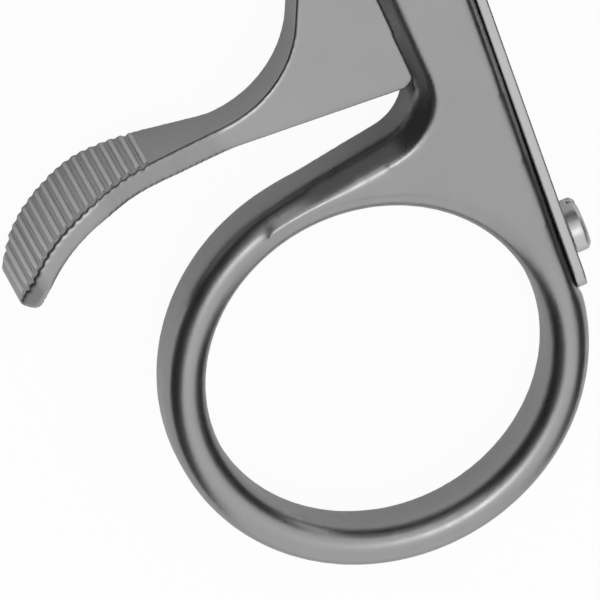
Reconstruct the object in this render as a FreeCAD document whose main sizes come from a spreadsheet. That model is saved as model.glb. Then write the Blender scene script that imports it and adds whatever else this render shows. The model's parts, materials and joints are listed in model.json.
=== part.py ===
import FreeCAD, Part
import math
import os

import Sketcher

# Self retaining retractor with finger rings, a cam ratchet and hinged blades. Lengths are in millimetres and
# angles in degrees. The instrument lies flat: +Y runs from the rings to the blades, +Z is its front, the
# pivot of the joint stands on the origin and the resting plane is Z = 0.

DOC = FreeCAD.newDocument("SelfRetainingRetractor")

# Driving sizes: name, value, what it is
SIZES = [
    ("mid_height", 4.35, "height of the arms' middle plane above the resting plane"),
    ("ring_x", 46.0, "finger ring centre, sideways from the pivot"),
    ("ring_y", 90.0, "finger ring centre, behind the pivot"),
    ("ring_bore", 13.3, "radius of the finger hole"),
    ("ring_width", 3.35, "width of the ring's section"),
    ("ring_depth", 5.0, "depth of the ring's section"),
    ("ring_round", 1.45, "rounding of the ring's section, in three flats"),
    ("shank_lean", 21.4, "lean of the shank's outer face from the instrument's axis"),
    ("shank_seat", 16.3, "distance of the shank's outer face from the ring centre"),
    ("shank_depth", 6.5, "depth of the shank, front to back"),
    ("web_slope_end", 24.0, "height above the ring centre where the shank has its full depth"),
    ("web_slope_start", 8.0, "height above the ring centre where the web begins to thicken"),
    ("web_tangent", 120.0, "angle on the ring where the web's inner side leaves it"),
    ("web_crook_along", 18.4, "crook of web and shank, along the outer face"),
    ("web_crook_width", 6.4, "width of the shank at the crook"),
    ("web_crook_round", 4.0, "rounding of the crook"),
    ("shank_wide_along", 42.0, "widest place of the shank, along the outer face"),
    ("shank_wide", 8.0, "width of the shank at its widest place"),
    ("shank_bevel", 1.45, "bevel on the inner side of the shank"),
    ("shank_edge", 0.6, "bevel on the outer side of the shank"),
    ("shank_round", 20.0, "rounding of the shank's inner side at its widest place"),
    ("foot_along", 6.0, "length in which the shank's foot draws in to the ring"),
    ("foot_inset", 1.6, "depth to which the shank's foot draws in, from its outer face"),
    ("foot_round", 12.0, "rounding where the shank's outer face turns in to the ring"),
    ("foot_end", -25.0, "angle on the ring where the shank's foot runs out"),
    ("neck_lean", 45.0, "lean of the arm between the bend and the joint"),
    ("neck_offset", 7.0, "distance of the neck's outer face from the pivot"),
    ("neck_width", 7.2, "width of the arm between the bend and the joint"),
    ("bend_round", 60.0, "outer radius of the bend"),
    ("joint_radius", 8.4, "radius of the joint's half discs"),
    ("joint_depth", 8.7, "depth of the joint"),
    ("lap_gap", 0.04, "gap between the two half discs"),
    ("lap_step_gap", 0.15, "gap between a half disc's rim and the other arm's step"),
    ("pivot_radius", 2.0, "radius of the pivot screw"),
    ("pivot_head", 3.6, "radius of the pivot screw's countersunk head"),
    ("pivot_fit", 0.04, "running clearance round the pivot screw"),
    ("arm_gap", 0.3, "half of the gap between the closed arms"),
    ("arm_bow", 2.4, "inner side of the bowed upper arm, from the axis"),
    ("arm_bow_y", 20.0, "middle of the bow, above the pivot"),
    ("arm_width", 5.8, "width of the upper arm"),
    ("arm_depth", 5.6, "depth of the upper arm"),
    ("arm_round", 30.0, "rounding of the upper arm's bow"),
    ("hinge_y", 39.0, "blade hinge axis, above the pivot"),
    ("hinge_x", 4.4, "middle of the blade hinge, from the axis"),
    ("hinge_width", 5.4, "width of the blade hinge"),
    ("hinge_round", 2.75, "radius of the hinge's rounded ends"),
    ("tongue", 1.9, "thickness of the hinge tongue"),
    ("hinge_gap", 0.06, "side clearance of the hinge tongue"),
    ("hinge_end_gap", 0.3, "end clearance of the hinge's rounded ends"),
    ("hinge_pin", 0.9, "radius of the hinge screw"),
    ("hinge_head", 1.6, "radius of the hinge screw's countersunk head"),
    ("hinge_fit", 0.04, "running clearance round the hinge screw"),
    ("slot_height", 3.6, "height of the slot in the shank"),
    ("slot_reach", 17.0, "half length of the slot, which opens at both sides of the shank"),
    ("slot_floor", 81.2, "distance of the slot's floor from the pivot"),
    ("slot_room", 1.2, "room in the slot above the rack"),
    ("slot_angle", -44.4, "direction of the slot seen from the pivot"),
    ("rack_crest", 59.3, "radius of the rack over its teeth"),
    ("rack_width", 4.7, "width of the rack, over its teeth"),
    ("rack_depth", 2.4, "thickness of the rack"),
    ("rack_tail", 4.1, "rack beyond its fixing pin"),
    ("rack_head", 2.5, "rack beyond its stop pin"),
    ("rack_fit", 0.05, "clearance of the rack in the rack arm"),
    ("tooth_depth", 0.7, "depth of a ratchet tooth"),
    ("tooth_run", 1.0, "length of a tooth's sloping flank"),
    ("tooth_floor", 0.3, "width of the gap's floor"),
    ("tooth_undercut", 10.0, "undercut of a tooth's steep flank"),
    ("tooth_overcut", 0.3, "height to which a tooth gap is cut above the crests"),
    ("swing", 34.0, "turn of the arms from closed blades to rings nearly touching"),
    ("swing_steps", 24.0, "tooth pitches in the whole turn"),
    ("rack_pin_radius", 1.1, "radius of the rack's fixing pin"),
    ("rack_pin_inset", 4.0, "depth of the fixing pin under the shank's outer face"),
    ("stop_pin_radius", 0.9, "radius of the rack's stop pin"),
    ("stop_pin_gap", 0.2, "gap between the stop pin and the shank at rest"),
    ("stop_pin_length", 5.6, "length of the stop pin"),
    ("rack_pin_depth", 2.3, "depth of the rack's pins under its crest"),
    ("lever_pin_rise", 2.3, "distance of the lever pin from the rack's crest"),
    ("lever_pin_inset", 3.0, "depth of the lever pin under the shank's outer face"),
    ("lever_pin_radius", 1.0, "radius of the lever pin"),
    ("lever_pin_fit", 0.03, "running clearance round the lever pin"),
    ("lever_eye", 2.0, "radius of the lever's eye"),
    ("lever_depth", 3.4, "thickness of the lever's plate"),
    ("lever_engage", 7.4, "turn of the lever from just clear to fully engaged"),
    ("plate_x", 37.9, "front side of the lever's plate, from the axis"),
    ("nose_turn", 5.05, "turn from the lever pin to the engaged nose, seen from the pivot"),
    ("nose_clearance", 0.08, "clearance of the engaged nose in a tooth gap"),
    ("nose_rise", 1.3, "height of the nose's wedge above the crests"),
    ("brow_rise", 0.7, "distance from the rack's crest of the lever's edge beside its eye"),
    ("brow_turn", 1.95, "turn from the lever pin to the edge beside its eye"),
    ("nose_root_rise", 1.3, "distance from the rack's crest of the edge's corner beside the nose"),
    ("nose_root_turn", 4.55, "turn from the lever pin to the edge's corner beside the nose"),
    ("plate_head_rise", 1.6, "distance from the rack's crest of the plate's upper corner"),
    ("plate_head_turn", 7.7, "turn from the lever pin to the plate's upper corner"),
    ("plate_bend_rise", 9.4, "bend of the plate's front side, above the corner of its hollow"),
    ("plate_bend_round", 10.0, "rounding of that bend"),
    ("plate_foot_x", 0.9, "lower corner of the plate, sideways from the ring centre"),
    ("plate_foot_y", 23.1, "lower corner of the plate, above the ring centre"),
    ("plate_foot_round", 0.5, "rounding of the plate's lower corner"),
    ("back_low_along", 24.3, "lower end of the plate's back, along the shank's outer face"),
    ("back_low_inset", 1.7, "lower end of the plate's back, inside the shank's outer face"),
    ("back_reach", 6.85, "foot of the heel, from the lever pin along the shank"),
    ("back_inset", 1.3, "foot of the heel, inside the shank's outer face"),
    ("back_top_reach", 0.95, "upper end of the lever's back, from the lever pin along the shank"),
    ("lever_soft", 0.8, "rounding of the heel and the plate's back"),
    ("pad_centre_x", 14.6, "centre of the thumb pad's curve, sideways from the ring centre"),
    ("pad_centre_y", 5.05, "centre of the thumb pad's curve, above the ring centre"),
    ("pad_radius", 14.3, "radius of the thumb pad's serrated face"),
    ("pad_thick", 1.7, "thickness of the thumb pad"),
    ("pad_start", 18.75, "direction of the pad where the serration begins, from upright"),
    ("pad_end", 76.5, "direction of the pad where its curve ends, from upright"),
    ("pad_tip", 0.9, "straight tip of the pad beyond its curve"),
    ("pad_width", 8.7, "width of the thumb pad"),
    ("pad_tip_width", 4.4, "width of the thumb pad's rounded tip"),
    ("pad_diagonal", 45.0, "direction of the lever's diagonal, along which its width changes"),
    ("pad_neck", 26.5, "place of the neck along the lever's diagonal"),
    ("pad_neck_round", 6.0, "rounding of the neck, seen from the palm"),
    ("pad_shoulder_round", 8.0, "rounding of the pad's shoulders, seen from the palm"),
    ("pad_corner_round", 3.0, "rounding of the corners at the pad's tip"),
    ("pad_shoulder", 36.5, "place along the diagonal where the pad has its full width"),
    ("pad_rounding", 43.4, "place along the diagonal where the pad's tip begins to round"),
    ("pad_far", 47.5, "end of the pad's tip along the diagonal"),
    ("groove_count", 18.0, "number of grooves in the thumb pad"),
    ("groove_pitch", 3.12, "turn from one groove to the next"),
    ("groove_depth", 0.3, "depth of a groove"),
    ("groove_half", 0.2, "half of a groove's width"),
    ("plate_round", 8.85, "round hollow between plate and pad"),
    ("spring_tip", 1.8, "leaf spring beyond the lever's heel"),
    ("spring_width", 5.0, "width of the leaf spring"),
    ("spring_thick", 0.85, "thickness of the leaf spring"),
    ("spring_tail", 4.6, "spring beyond its screw, towards the ring"),
    ("seat_margin", 0.3, "flat seat on the ring beyond the spring's end"),
    ("spring_lift", 0.2, "slant of the spring from the shank, from its screw to its free end"),
    ("heel_reach", 3.55, "place of the lever's heel, from the lever pin along the shank"),
    ("heel_gap", 0.03, "clearance between the lever's heel and the spring"),
    ("heel_half", 0.8, "half of the heel's flat"),
    ("screw_along", 4.1, "spring screw, along the shank's outer face"),
    ("screw_radius", 1.0, "radius of the spring screw"),
    ("screw_reach", 3.0, "length of the spring screw in the shank"),
    ("screw_head_radius", 2.1, "radius of the spring screw's head"),
    ("screw_head_height", 1.35, "height of the spring screw's head"),
    ("screw_head_bevel", 0.3, "bevel of the spring screw's head"),
    ("screw_slot", 0.6, "width of a driver slot"),
    ("screw_fit", 0.05, "clearance of the spring's hole round its screw"),
    ("pin_bevel", 0.15, "bevel at the ends of pins and screws"),
    ("blade_reach", 46.0, "length of a blade from its hinge"),
    ("blade_width", 4.6, "width of the blade's bar"),
    ("blade_depth", 3.6, "depth of the blade's bar"),
    ("bar_swell_end", 6.05, "end of the bar's deep part, beyond the hinge"),
    ("bar_slim_start", 13.75, "start of the bar's slim part, beyond the hinge"),
    ("bar_sweep", 10.0, "rounding where the bar becomes slim"),
    ("rake_round", 4.0, "rounding of the plate's rear corner"),
    ("rake_thick", 2.3, "thickness of the plate that carries the prongs"),
    ("rake_shift", 0.9, "shift of that plate to the outside of the bar's middle"),
    ("rake_length", 21.0, "length of the plate that carries the prongs"),
    ("rake_rise", 5.2, "rise of that plate above the middle plane"),
    ("prong_width", 2.2, "width of a prong"),
    ("prong_middle", 2.0, "thickness of a prong at its bend"),
    ("prong_tip", 1.0, "thickness of a prong at its blunt tip"),
    ("prong_rise", 13.0, "height of a prong's bend above the middle plane"),
    ("prong_bend", 4.5, "radius of a prong's bend"),
    ("prong_reach", 2.6, "straight end of a prong"),
    ("prong_lean", 65.0, "turn of a prong's bend"),
    ("right_prongs", 3.0, "number of prongs on the right blade"),
    ("left_prongs", 4.0, "number of prongs on the left blade"),
]


def make_sheet():
    """Put the driving sizes in a spreadsheet, one row each."""
    sheet = DOC.addObject("Spreadsheet::Sheet", "Sizes")
    for row, (alias, value, meaning) in enumerate(SIZES, start=1):
        sheet.set("A%d" % row, meaning)
        sheet.set("B%d" % row, str(value))
        sheet.setAlias("B%d" % row, alias)
    DOC.recompute()
    return sheet


SHEET = make_sheet()
NAMES = sorted((alias for alias, _, _ in SIZES), key=len, reverse=True)


def bind(formula):
    """Write a formula of size names as an expression that reads the spreadsheet."""
    words = []
    word = ""
    for char in str(formula) + " ":
        if char.isalnum() or char == "_":
            word += char
            continue
        words.append("Sizes." + word if word in NAMES else word)
        words.append(char)
        word = ""
    return "".join(words).strip()


def value(formula):
    """The number that a formula of size names gives now."""
    result = SHEET.evalExpression(bind(formula))
    return float(getattr(result, "Value", result))


# Formulas of places

def polar(radius, angle):
    """A point at a radius and direction from the pivot."""
    return "(%s)*cos(%s)" % (radius, angle), "(%s)*sin(%s)" % (radius, angle)


def from_ring(radius, angle):
    """A point at a radius and direction from the ring centre."""
    return ("ring_x+(%s)*cos(%s)" % (radius, angle), "(%s)*sin(%s)-ring_y" % (radius, angle))


def on_shank(along, inset):
    """A point along the shank's outer face, set in from it by some depth."""
    across = "(shank_seat-(%s))" % inset
    return ("ring_x+%s*cos(shank_lean)-(%s)*sin(shank_lean)" % (across, along),
            "%s*sin(shank_lean)+(%s)*cos(shank_lean)-ring_y" % (across, along))


def along_arc(run):
    """The angle that a short run along the rack's crest takes."""
    return "(%s)/rack_crest*180/3.14159265" % run


# Sketches

def plane_of(body, role):
    """One of a body's own origin planes or axes."""
    return next(item for item in body.Origin.OriginFeatures if item.Role == role)


def new_body(label, height="mid_height"):
    """A body whose middle plane lies at a height above the resting plane."""
    body = DOC.addObject("PartDesign::Body", label)
    body.Label = label
    body.setExpression("Placement.Base.z", bind(height))
    return body


def new_sketch(body, name, role="XY_Plane", shift=None, turn=None):
    """A sketch on an origin plane, shifted by formulas and turned about an axis where given."""
    sketch = body.newObject("Sketcher::SketchObject", name)
    sketch.AttachmentSupport = (plane_of(body, role), [""])
    sketch.MapMode = "FlatFace"
    if turn:
        axis, angle = turn
        spin = FreeCAD.Rotation(FreeCAD.Vector(*axis), value(angle))
        sketch.AttachmentOffset = FreeCAD.Placement(FreeCAD.Vector(), spin)
        sketch.setExpression("AttachmentOffset.Rotation.Angle", bind(angle))
    for axis, formula in (shift or {}).items():
        sketch.setExpression("AttachmentOffset.Base." + axis, bind(formula))
    return sketch


def fix_point(sketch, geometry, position, corner):
    """Tie a point of the sketch to the formulas of its place."""
    for kind, formula in (("DistanceX", corner[0]), ("DistanceY", corner[1])):
        number = sketch.addConstraint(Sketcher.Constraint(kind, geometry, position, value(formula)))
        sketch.setExpression("Constraints[%d]" % number, bind(formula))


def rounding(before, here, after, radius):
    """Centre, start and end of the arc that rounds a corner, and whether it turns left."""
    into = (here - before).normalize()
    out = (after - here).normalize()
    turn = math.atan2(into.x * out.y - into.y * out.x, into.dot(out))
    reach = radius * math.tan(abs(turn) / 2)
    start = here - into * reach
    side = 1 if turn > 0 else -1
    centre = start + FreeCAD.Vector(-into.y, into.x, 0) * radius * side
    return centre, start, here + out * reach, side > 0


def draw_outline(sketch, corners):
    """Draw a closed outline through corners given as formulas, each with a rounding radius or None."""
    spots = [FreeCAD.Vector(value(x), value(y), 0) for x, y, _ in corners]
    count = len(corners)
    ends = []
    for index, (_, _, radius) in enumerate(corners):
        if radius is None:
            ends.append((None, spots[index], spots[index], True))
            continue
        ends.append(rounding(spots[index - 1], spots[index], spots[(index + 1) % count], value(radius)))
    lines = [sketch.addGeometry(Part.LineSegment(ends[index][2], ends[(index + 1) % count][1]), False)
             for index in range(count)]
    for index, (x, y, radius) in enumerate(corners):
        centre, start, end, left = ends[index]
        if centre is None:
            sketch.addConstraint(Sketcher.Constraint("Coincident", lines[index - 1], 2, lines[index], 1))
            fix_point(sketch, lines[index], 1, (x, y))
            continue
        angles = [math.atan2(spot.y - centre.y, spot.x - centre.x) for spot in (start, end)]
        if not left:
            angles.reverse()
        circle = Part.Circle(centre, FreeCAD.Vector(0, 0, 1), value(radius))
        arc = sketch.addGeometry(Part.ArcOfCircle(circle, angles[0], angles[1]), False)
        first, last = (1, 2) if left else (2, 1)
        peak = sketch.addGeometry(Part.Point(spots[index]), True)
        fix_point(sketch, peak, 1, (x, y))
        sketch.addConstraint(Sketcher.Constraint("PointOnObject", peak, 1, lines[index - 1]))
        sketch.addConstraint(Sketcher.Constraint("PointOnObject", peak, 1, lines[index]))
        sketch.addConstraint(Sketcher.Constraint("Tangent", lines[index - 1], 2, arc, first))
        sketch.addConstraint(Sketcher.Constraint("Tangent", lines[index], 1, arc, last))
        number = sketch.addConstraint(Sketcher.Constraint("Radius", arc, value(radius)))
        sketch.setExpression("Constraints[%d]" % number, bind(radius))


def draw_circle(sketch, x, y, radius):
    """Draw a circle whose centre and radius follow formulas."""
    centre = FreeCAD.Vector(value(x), value(y), 0)
    circle = Part.Circle(centre, FreeCAD.Vector(0, 0, 1), value(radius))
    ring = sketch.addGeometry(circle, False)
    fix_point(sketch, ring, 3, (x, y))
    number = sketch.addConstraint(Sketcher.Constraint("Radius", ring, value(radius)))
    sketch.setExpression("Constraints[%d]" % number, bind(radius))


# Features

def settle(body, feature):
    """Recompute, and stop if the feature failed or left no valid solid."""
    DOC.recompute()
    shape = feature.Shape
    if not feature.isValid() or shape.isNull() or not shape.isValid():
        raise RuntimeError("%s of %s failed" % (feature.Name, body.Label))
    return feature


def extrude(body, sketch, kind, length, side="Symmetric", reverse=False):
    """Pad or pocket a sketch by a length, or through everything when the length is None."""
    before = body.Shape.Volume if body.Tip else 0
    feature = body.newObject("PartDesign::" + kind, sketch.Name + "_" + kind.lower())
    feature.Profile = sketch
    feature.SideType = side
    feature.Reversed = reverse
    if length is None:
        feature.Type = "ThroughAll"
    else:
        feature.setExpression("Length", bind(length))
    settle(body, feature)
    change = feature.Shape.Volume - before
    if (change <= 0) == (kind == "Pad"):
        raise RuntimeError("%s of %s changed nothing" % (feature.Name, body.Label))
    return feature


def revolve(body, sketch, kind, axis, angle="360"):
    """Turn a sketch about an axis, to add or to cut."""
    feature = body.newObject("PartDesign::" + kind, sketch.Name + "_" + kind.lower())
    feature.Profile = sketch
    feature.ReferenceAxis = axis
    feature.setExpression("Angle", bind(angle))
    return settle(body, feature)


def dress(body, kind, size, choose):
    """Fillet or chamfer the edges that a test picks."""
    tip = body.Tip
    names = ["Edge%d" % (number + 1) for number, edge in enumerate(tip.Shape.Edges) if choose(edge)]
    feature = body.newObject("PartDesign::" + kind, tip.Name + "_" + kind.lower())
    feature.Base = (tip, names)
    feature.setExpression("Radius" if kind == "Fillet" else "Size", bind(size))
    return settle(body, feature)


def repeat_round(body, original, axis, span, count):
    """Repeat a feature round an axis."""
    feature = body.newObject("PartDesign::PolarPattern", original.Name + "_repeat")
    feature.Originals = [original]
    feature.Axis = axis
    feature.setExpression("Angle", bind(span))
    feature.setExpression("Occurrences", bind(count))
    body.Tip = feature
    return settle(body, feature)


def repeat_backwards(body, original, span, count):
    """Repeat a feature along the instrument's axis, towards the rings."""
    feature = body.newObject("PartDesign::LinearPattern", original.Name + "_repeat")
    feature.Originals = [original]
    feature.Direction = (plane_of(body, "Y_Axis"), [""])
    feature.Reversed = True
    feature.setExpression("Length", bind(span))
    feature.setExpression("Occurrences", bind(count))
    body.Tip = feature
    return settle(body, feature)


def on_side(side, *corners):
    """Corners of the right-hand side, mirrored for the left-hand side."""
    if side > 0:
        return list(corners)
    return [("-(%s)" % corner[0],) + tuple(corner[1:]) for corner in corners]


# Millimetres that tell edges apart when they are picked for a bevel
NEAR = 0.1
UPRIGHT = (0, 0, 1)
CROSSWISE = (0, 1, 0)

# Places that several pieces share
RING_OUT = "(ring_bore+ring_width)"
RING_CREST = "(ring_bore+ring_width/2)"
SHANK_FOOT = on_shank("0", "0")
BEND_ALONG = ("((neck_offset-(%s)*cos(neck_lean)-(%s)*sin(neck_lean))/sin(neck_lean-shank_lean))"
              % SHANK_FOOT)
BEND = on_shank(BEND_ALONG, "0")
BEND_SHARE = "neck_width/(1+cos(neck_lean-shank_lean))"
BEND_INNER = ("%s-%s*(cos(shank_lean)+cos(neck_lean))" % (BEND[0], BEND_SHARE),
              "%s-%s*(sin(shank_lean)+sin(neck_lean))" % (BEND[1], BEND_SHARE))
CROOK = on_shank("web_crook_along", "web_crook_width")


def shank_crossing(radius, inset):
    """The direction, seen from the pivot, in which a circle crosses the shank at some depth."""
    across = "(ring_x*cos(shank_lean)-ring_y*sin(shank_lean)+shank_seat-(%s))" % inset
    return "(shank_lean-acos(%s/(%s))/1deg)" % (across, radius)


# The rack, the lever and its heel take their places from the rack's crest and the shank
RACK_INNER = "(rack_crest-rack_width)"
RACK_MID = "(rack_crest-rack_pin_depth)"
RACK_PIN_ANGLE = "(-180-%s)" % shank_crossing(RACK_MID, "rack_pin_inset")
STOP_PIN_ANGLE = shank_crossing(RACK_MID, "-stop_pin_radius-stop_pin_gap")
RACK_ROOT = "(%s-%s)" % (RACK_PIN_ANGLE, along_arc("rack_tail"))
RACK_FREE = "(%s+%s)" % (STOP_PIN_ANGLE, along_arc("rack_head"))
SLOT_TOP = "(%s-slot_room)" % RACK_INNER
LEVER_PIN_ANGLE = shank_crossing("rack_crest+lever_pin_rise", "lever_pin_inset")
LEVER_PIN = polar("rack_crest+lever_pin_rise", LEVER_PIN_ANGLE)
LEVER_PIN_ALONG = ("((ring_x-(%s))*sin(shank_lean)+((%s)+ring_y)*cos(shank_lean))" % LEVER_PIN)
HEEL_ALONG = "(%s-heel_reach)" % LEVER_PIN_ALONG
LAP_RADIUS = "joint_radius+lap_step_gap"
HINGE_SHOULDER = "hinge_y-hinge_round-hinge_end_gap"
HINGE_ROOT = "hinge_y+hinge_round+hinge_end_gap"
HINGE_SWELL = "(hinge_y+bar_swell_end)"
HINGE_SLIM = "(hinge_y+bar_slim_start)"


def depth_in_arm(side, place):
    """How deep a place lies under the outer side of shank and neck."""
    foot = FreeCAD.Vector(side * value(SHANK_FOOT[0]), value(SHANK_FOOT[1]), 0)
    across_shank = FreeCAD.Vector(side * value("cos(shank_lean)"), value("sin(shank_lean)"), 0)
    across_neck = FreeCAD.Vector(side * value("cos(neck_lean)"), value("sin(neck_lean)"), 0)
    return min((foot - place).dot(across_shank), value("neck_offset") - place.dot(across_neck))


def from_ring_centre(side, place):
    """Distance of a place from the ring centre."""
    return place.distanceToPoint(FreeCAD.Vector(side * value("ring_x"), -value("ring_y"), 0))


def rim_place(edge):
    """The middle of an edge that runs along the arm on its front or back, or None for any other."""
    middle = edge.valueAt((edge.FirstParameter + edge.LastParameter) / 2)
    run = edge.valueAt(edge.LastParameter) - edge.valueAt(edge.FirstParameter)
    upright = abs(run.z) > value("ring_depth/2") or abs(middle.z) < value("ring_depth/2") - NEAR
    crosswise = abs(run.y) < edge.Length / 4
    at_joint = math.hypot(middle.x, middle.y) < value("joint_radius*1.25")
    if upright or crosswise or at_joint:
        return None
    return FreeCAD.Vector(middle.x, middle.y, 0)


def inner_shank_edge(side):
    """A test for the front and back edges of the shank's inner side and the web beside it."""
    def choose(edge):
        place = rim_place(edge)
        if place is None or place.y < value("ring_bore*0.8-ring_y"):
            return False
        clear_of_ring = from_ring_centre(side, place) > value(RING_OUT + "-ring_width/5")
        return depth_in_arm(side, place) > value("web_crook_width/2") and clear_of_ring
    return choose


def outer_shank_edge(side):
    """A test for the front and back edges of the outer side of shank and neck."""
    def choose(edge):
        place = rim_place(edge)
        if place is None or place.y < -value("ring_y"):
            return False
        clear_of_ring = from_ring_centre(side, place) > value(RING_CREST) + NEAR
        return depth_in_arm(side, place) < value("web_crook_width/2") and clear_of_ring
    return choose


def make_arm(label, side):
    """An arm of the instrument without its fittings: ring, web, shank, neck, half joint, upper arm."""
    arm = new_body(label)

    # Web, shank and neck, with the web thinner towards the ring
    shank = new_sketch(arm, "shank_" + label)
    draw_outline(shank, on_side(
        side,
        SHANK_FOOT + ("foot_round",),
        BEND + ("bend_round",),
        ("neck_offset*cos(neck_lean)", "neck_offset*sin(neck_lean)", None),
        ("(neck_offset-neck_width)*cos(neck_lean)", "(neck_offset-neck_width)*sin(neck_lean)", None),
        BEND_INNER + ("bend_round-neck_width",),
        on_shank("shank_wide_along", "shank_wide") + ("shank_round",),
        CROOK + ("web_crook_round",),
        from_ring(RING_OUT, "web_tangent") + (None,),
        from_ring(RING_CREST, "web_tangent+9") + (None,),
        from_ring("ring_bore*0.9", "web_tangent+9") + (None,),
        from_ring("ring_bore*0.9", "foot_end") + (None,),
        from_ring(RING_CREST, "foot_end") + (None,),
        on_shank("-foot_along", "foot_inset") + (None,)))
    extrude(arm, shank, "Pad", "shank_depth")
    slope = new_sketch(arm, "web_slope_" + label, "YZ_Plane")
    for face in ("", "-"):
        draw_outline(slope, [
            ("-ring_y-ring_bore*2", face + "(ring_depth/2)", None),
            ("web_slope_start-ring_y", face + "(ring_depth/2)", None),
            ("web_slope_end-ring_y", face + "(shank_depth/2)", None),
            ("web_slope_end-ring_y", face + "(shank_depth)", None),
            ("-ring_y-ring_bore*2", face + "(shank_depth)", None)])
    extrude(arm, slope, "Pocket", None)
    hole = new_sketch(arm, "ring_hole_" + label)
    draw_circle(hole, *on_side(side, ("ring_x", "-ring_y"))[0], RING_CREST)
    extrude(arm, hole, "Pocket", None)
    dress(arm, "Chamfer", "shank_bevel", inner_shank_edge(side))
    dress(arm, "Chamfer", "shank_edge", outer_shank_edge(side))

    # Finger ring, its section turned about the ring's axis: each corner is rounded in three flats
    section = new_sketch(arm, "ring_section_" + label, "XZ_Plane",
                         {"x": on_side(side, ("ring_x",))[0][0], "z": "ring_y"})
    draw_outline(section, [
        ("%s+ring_round*cos(%d)" % (across, angle), "%s+ring_round*sin(%d)" % (up, angle), None)
        for across, up, first in (
            ("(ring_bore+ring_round)", "(ring_round-ring_depth/2)", 180),
            ("(%s-ring_round)" % RING_OUT, "(ring_round-ring_depth/2)", 270),
            ("(%s-ring_round)" % RING_OUT, "(ring_depth/2-ring_round)", 0),
            ("(ring_bore+ring_round)", "(ring_depth/2-ring_round)", 90))
        for angle in (first, first + 30, first + 60, first + 90)])
    revolve(arm, section, "Revolution", (section, ["V_Axis"]))

    # Joint disc and upper arm
    disc = new_sketch(arm, "joint_disc_" + label)
    draw_circle(disc, "0", "0", "joint_radius")
    extrude(arm, disc, "Pad", "joint_depth")
    upper = new_sketch(arm, "upper_arm_" + label)
    draw_outline(upper, on_side(
        side,
        ("arm_gap", "joint_radius*0.45", None),
        ("arm_bow", "arm_bow_y", "arm_round"),
        ("hinge_x-hinge_width/2", HINGE_SHOULDER, None),
        ("hinge_x+hinge_width/2", HINGE_SHOULDER, None),
        ("arm_bow+arm_width", "arm_bow_y", "arm_round"),
        ("joint_radius*0.8", "joint_radius*0.3", None)))
    extrude(arm, upper, "Pad", "arm_depth")

    # The other arm's half disc lies in this step
    lap = new_sketch(arm, "lap_" + label, shift={"z": on_side(-side, ("lap_gap/2",))[0][0]})
    draw_circle(lap, "0", "0", LAP_RADIUS)
    extrude(arm, lap, "Pocket", None, side="One side", reverse=side > 0)

    # Hinge tongue, round above and square below, where it stops the blade
    tongue = new_sketch(arm, "tongue_" + label, "YZ_Plane", {"z": on_side(side, ("hinge_x",))[0][0]})
    draw_outline(tongue, [
        (HINGE_SHOULDER + "-1", "-hinge_round", None),
        ("hinge_y+hinge_round", "-hinge_round", "hinge_round*0.1"),
        ("hinge_y+hinge_round", "hinge_round", "hinge_round*0.98"),
        (HINGE_SHOULDER + "-1", "hinge_round", None)])
    extrude(arm, tongue, "Pad", "tongue")
    bore = new_sketch(arm, "hinge_bore_" + label, "YZ_Plane", {"z": on_side(side, ("hinge_x",))[0][0]})
    draw_circle(bore, "hinge_y", "0", "hinge_pin+hinge_fit")
    extrude(arm, bore, "Pocket", "tongue*1.5")
    return arm


def make_lever_arm():
    """The arm in whose shank the release lever swings."""
    arm = make_arm("lever_arm", 1)
    thread = new_sketch(arm, "pivot_thread")
    draw_circle(thread, "0", "0", "pivot_radius")
    extrude(arm, thread, "Pocket", None)
    slot = new_sketch(arm, "lever_slot")
    draw_outline(slot, [
        ("%s*cos(slot_angle)%sslot_reach*sin(slot_angle)" % (distance, ahead),
         "%s*sin(slot_angle)%sslot_reach*cos(slot_angle)" % (distance, back), None)
        for distance, ahead, back in (("slot_floor", "+", "-"), ("slot_floor", "-", "+"),
                                      (SLOT_TOP, "-", "+"), (SLOT_TOP, "+", "-"))])
    extrude(arm, slot, "Pocket", "slot_height")
    pin = new_sketch(arm, "lever_pin_hole")
    draw_circle(pin, *LEVER_PIN, "lever_pin_radius")
    extrude(arm, pin, "Pocket", None)
    return arm


def make_rack_arm():
    """The arm that carries the rack."""
    arm = make_arm("rack_arm", -1)
    bore = new_sketch(arm, "pivot_bore")
    draw_circle(bore, "0", "0", "pivot_radius+pivot_fit")
    extrude(arm, bore, "Pocket", None)
    sink = new_sketch(arm, "pivot_countersink", "XZ_Plane")
    draw_outline(sink, [
        ("pivot_radius*0.5", "joint_depth/2+pin_bevel", None),
        ("pivot_radius*0.5", "joint_depth/2-(pivot_head+pivot_fit-pivot_radius*0.5)", None),
        ("pivot_head+pivot_fit+pin_bevel", "joint_depth/2+pin_bevel", None)])
    revolve(arm, sink, "Groove", (sink, ["V_Axis"]))
    mortise = new_sketch(arm, "rack_mortise", "XZ_Plane")
    draw_outline(mortise, [
        (RACK_INNER + "-rack_fit", "-rack_depth/2-rack_fit", None),
        ("rack_crest+rack_fit", "-rack_depth/2-rack_fit", None),
        ("rack_crest+rack_fit", "rack_depth/2+rack_fit", None),
        (RACK_INNER + "-rack_fit", "rack_depth/2+rack_fit", None)])
    revolve(arm, mortise, "Groove", (mortise, ["V_Axis"]))
    pin = new_sketch(arm, "rack_pin_hole")
    draw_circle(pin, *polar(RACK_MID, RACK_PIN_ANGLE), "rack_pin_radius")
    extrude(arm, pin, "Pocket", None)
    return arm


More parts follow.
